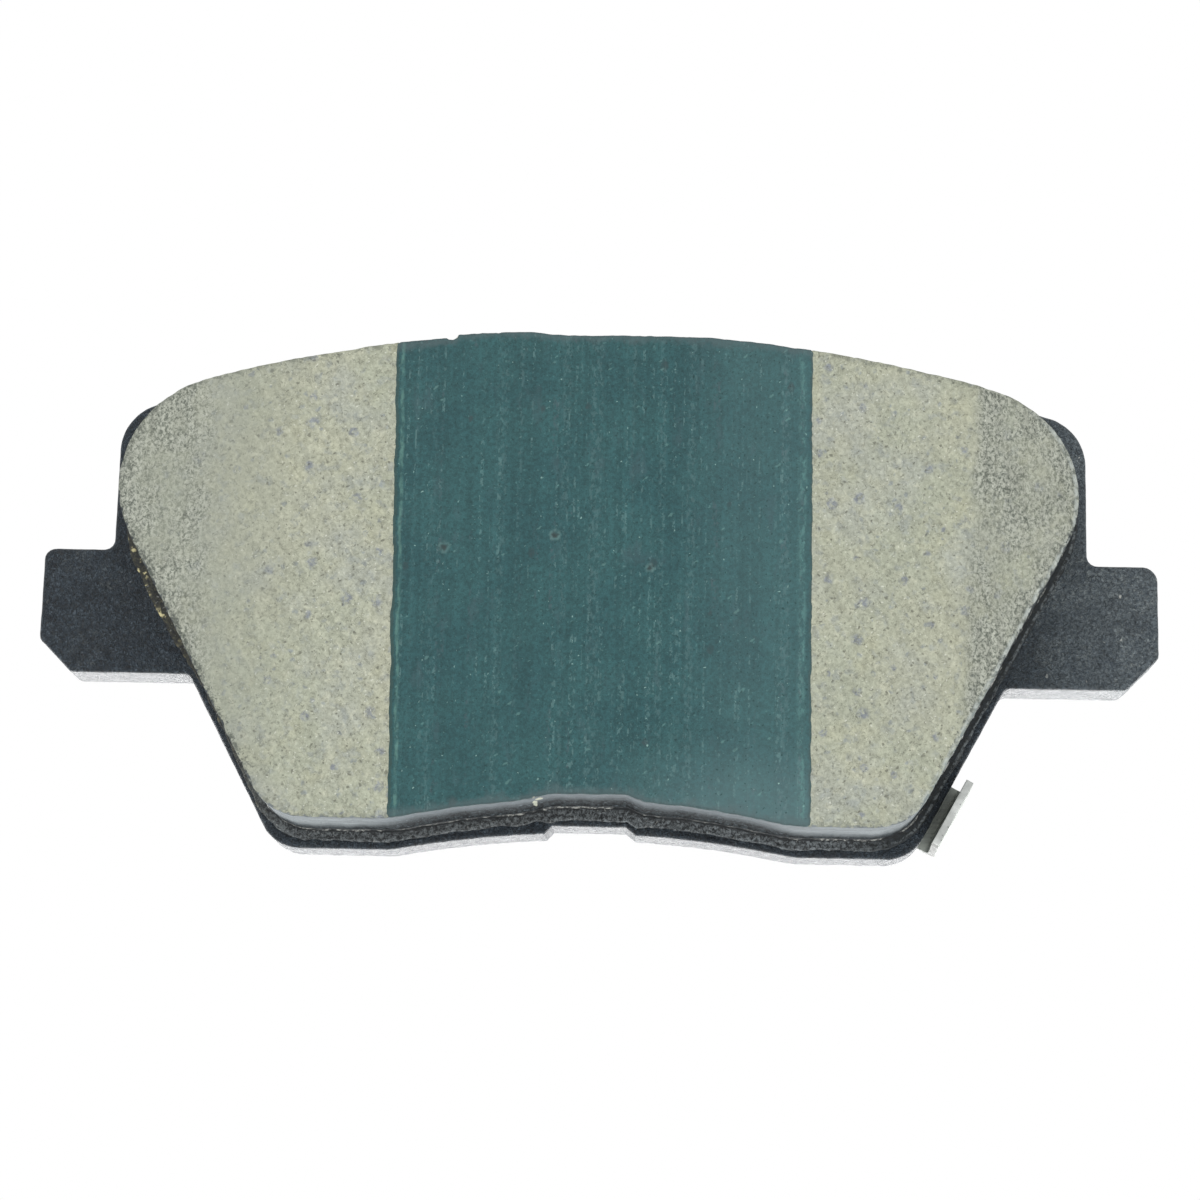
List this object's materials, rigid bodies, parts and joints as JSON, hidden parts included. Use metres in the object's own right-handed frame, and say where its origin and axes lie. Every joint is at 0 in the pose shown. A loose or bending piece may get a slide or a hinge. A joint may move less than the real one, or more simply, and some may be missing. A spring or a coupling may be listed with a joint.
{
  "type": "disc brake pad",
  "caption": "Front disc brake pad: eared steel backing plate, bonded friction block with end chamfers and painted stripe, rubber-coated shim and riveted wear indicator.",
  "frame": {"origin": "centre of the flat back face that the caliper piston presses", "axes": "+X along the pad towards the wear indicator, +Y out of the back face along the disc's axis, +Z from the lower notch to the arched upper edge, away from the axle"},
  "size_m": [0.1166, 0.0184, 0.054],
  "materials": {
    "powder_coated_plate": "satin powder coat",
    "bonding_resin": "cured adhesive",
    "underlayer_compound": "rough moulded",
    "friction_compound": "ground matte, sides painted black",
    "stripe_paint": "satin coating",
    "shim_glue": "pressure-sensitive film",
    "shim_rubber": "fine matte coating",
    "shim_steel": "cold rolled",
    "spring_steel": "zinc plated, sheared edges bright",
    "rivet_steel": "zinc plated"
  },
  "bodies": {
    "root": {"backing_plate": "powder_coated_plate", "bonding_adhesive": "bonding_resin", "underlayer": "underlayer_compound", "friction_block": "friction_compound", "bedding_stripe": "stripe_paint", "shim_adhesive": "shim_glue", "shim_inner_rubber": "shim_rubber", "shim_steel_core": "shim_steel", "shim_outer_rubber": "shim_rubber", "wear_indicator": "spring_steel", "indicator_rivet": "rivet_steel"}
  },
  "joints": []
}
